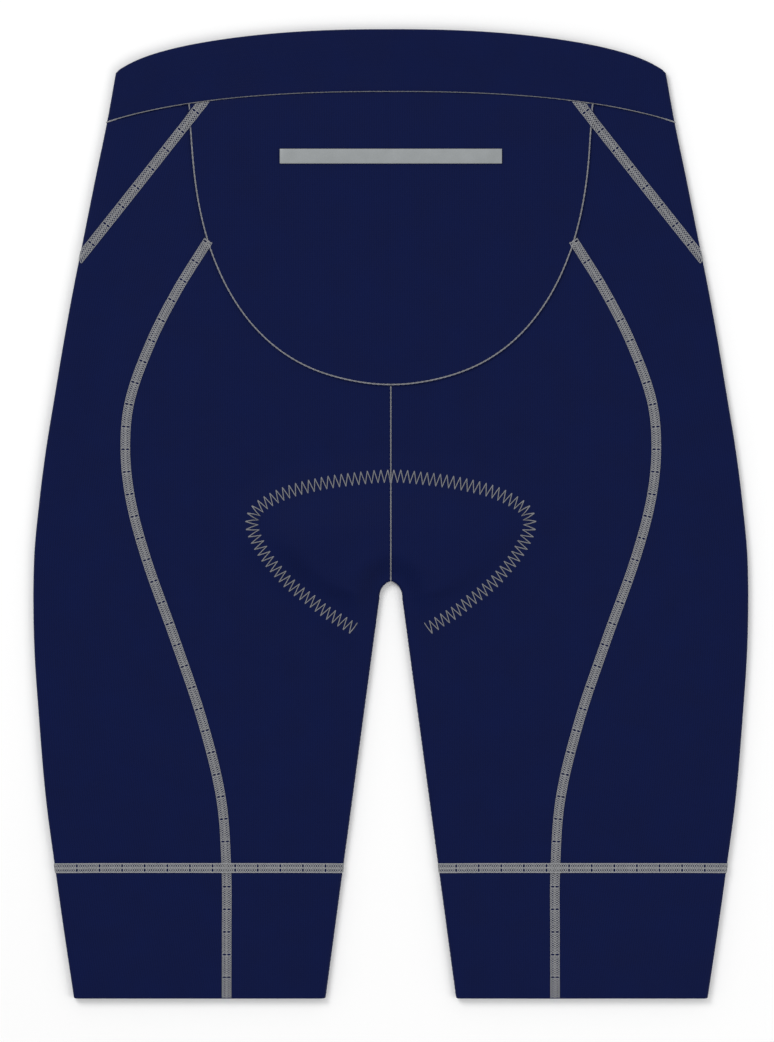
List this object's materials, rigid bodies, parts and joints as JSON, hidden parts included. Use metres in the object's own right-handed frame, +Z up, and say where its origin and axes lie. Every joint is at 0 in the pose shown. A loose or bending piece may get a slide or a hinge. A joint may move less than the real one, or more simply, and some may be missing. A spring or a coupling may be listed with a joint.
{
  "type": "triathlon shorts",
  "caption": "Close-fitting triathlon shorts laid flat, back up, with curved side panels, leg bands, a welt pocket below the back waistband and a stitched-in seat pad.",
  "frame": {"origin": "middle of the footprint, on the surface that the shorts lie on", "axes": "+X across to the wearer's right, +Y from the hems to the waist, +Z up through the front and then the back"},
  "size_m": [0.393, 0.5325, 0.0091],
  "materials": {
    "navy_knit": "matte",
    "waistband_knit": "matte",
    "grey_trim": "satin",
    "pad_fleece": "matte"
  },
  "bodies": {
    "root": {"back_panel_left": "navy_knit", "back_panel_right": "navy_knit", "front_panel_left": "navy_knit", "front_panel_right": "navy_knit", "side_panel_left": "navy_knit", "side_panel_right": "navy_knit", "hip_panel_left": "navy_knit", "hip_panel_right": "navy_knit", "hem_band_back_left": "navy_knit", "hem_band_back_right": "navy_knit", "hem_band_front_left": "navy_knit", "hem_band_front_right": "navy_knit", "hem_band_side_left": "navy_knit", "hem_band_side_right": "navy_knit", "pocket_panel": "navy_knit", "waistband": "waistband_knit", "pocket_welt": "grey_trim", "seat_pad": "pad_fleece"}
  },
  "joints": []
}
